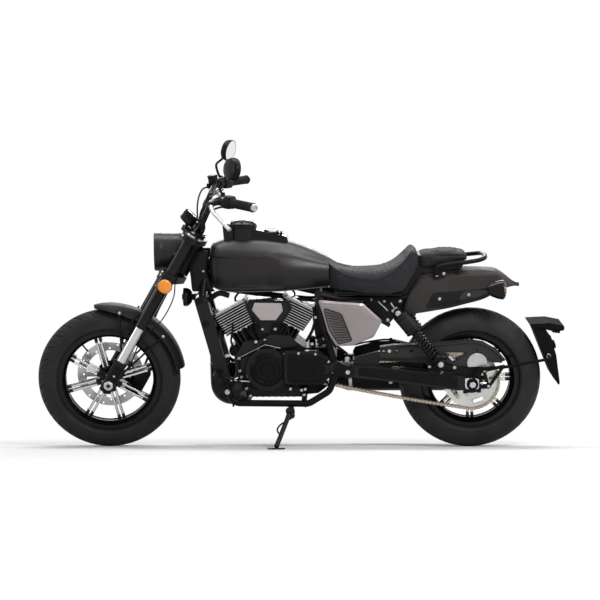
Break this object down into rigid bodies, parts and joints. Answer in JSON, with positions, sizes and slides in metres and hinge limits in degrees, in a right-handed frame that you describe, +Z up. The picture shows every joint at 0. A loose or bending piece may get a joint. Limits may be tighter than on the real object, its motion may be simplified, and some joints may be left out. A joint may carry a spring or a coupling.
{
  "type": "cruiser motorcycle",
  "caption": "Cruiser motorcycle with a V-twin engine, chain drive and single-sided plate holder, leaning on its side stand, with turning steering and wheels.",
  "frame": {"origin": "on the floor, at the middle of the whole machine's bounding box as it leans on its side stand", "axes": "+X forward along the machine, +Y to its left, +Z up from the floor"},
  "size_m": [2.2067, 0.842, 1.3177],
  "materials": {
    "cast": "black coated cast aluminium",
    "chain": "oiled steel",
    "chrome": "polished plating",
    "gloss_black": "gloss black paint",
    "lamp_amber": "amber lens",
    "lamp_red": "red lens",
    "matte_charcoal": "satin dark charcoal paint",
    "plastic": "moulded black plastic",
    "rubber": "black rubber",
    "satin_black": "satin black paint",
    "seat": "grained black seat cover",
    "silver_cover": "gloss silver",
    "steel": "plain steel",
    "tyre": "black tyre rubber"
  },
  "bodies": {
    "chassis": {"frame_spine": "satin_black", "front_spars": "matte_charcoal", "frame_cradle": "satin_black", "subframe": "satin_black", "swingarm": "satin_black", "rear_axle": "steel", "shock_bodies": "gloss_black", "shock_springs": "gloss_black", "chain_guard": "plastic", "drive_chain": "chain", "crankcase": "cast", "front_cylinder": "cast", "rear_cylinder": "cast", "engine_covers": "gloss_black", "intake_cover": "gloss_black", "exhaust": "satin_black", "radiator": "satin_black", "radiator_cowls": "matte_charcoal", "horn": "gloss_black", "fuel_tank": "matte_charcoal", "tank_console": "gloss_black", "rider_seat": "seat", "pillion_seat": "seat", "rear_fender": "matte_charcoal", "tail_light": "lamp_red", "rear_turn_signals": "gloss_black", "grab_rail": "satin_black", "side_covers": "silver_cover", "plate_holder": "plastic", "foot_controls": "satin_black", "rear_caliper": "satin_black"},
    "steering": {"triple_clamps": "satin_black", "fork_stanchions": "chrome", "fork_tubes": "gloss_black", "fork_sliders": "gloss_black", "front_axle": "steel", "front_mudguard": "matte_charcoal", "headlight": "matte_charcoal", "instrument": "gloss_black", "handlebar": "gloss_black", "grips": "rubber", "hand_controls": "plastic", "mirrors": "gloss_black", "front_turn_signals": "lamp_amber", "front_brake": "satin_black"},
    "front_wheel": {"front_tyre": "tyre", "front_rim": "gloss_black", "front_disc": "steel"},
    "rear_wheel": {"rear_tyre": "tyre", "rear_rim": "gloss_black", "rear_disc": "steel", "rear_sprocket": "steel"},
    "side_stand": {"side_stand": "satin_black"},
    "fuel_cap": {"fuel_cap": "chrome"}
  },
  "joints": [
    {"name": "steering", "type": "hinge", "parent": "chassis", "child": "steering", "pos_m": [0.76636, -0.13037, 0.27066], "axis": [-0.499, 0.1727, 0.8492], "range_deg": [-41.5, 30.5]},
    {"name": "front_wheel_spin", "type": "hinge", "parent": "steering", "child": "front_wheel", "pos_m": [0.80517, -0.12168, 0.2917], "axis": [-0.0833, 0.9659, -0.2453], "continuous": true},
    {"name": "rear_wheel_spin", "type": "hinge", "parent": "chassis", "child": "rear_wheel", "pos_m": [-0.71965, -0.12589, 0.2945], "axis": [-0.0002, 0.9799, -0.1994], "continuous": true},
    {"name": "stand_fold", "type": "hinge", "parent": "chassis", "child": "side_stand", "pos_m": [0.03718, 0.00053, 0.15255], "axis": [0.1046, 0.79, 0.6041], "range_deg": [0, 105.09]},
    {"name": "cap_open", "type": "hinge", "parent": "chassis", "child": "fuel_cap", "pos_m": [0.0751, -0.00109, 0.90697], "axis": [0.0002, -0.9799, 0.1994], "range_deg": [0, 95]}
  ]
}
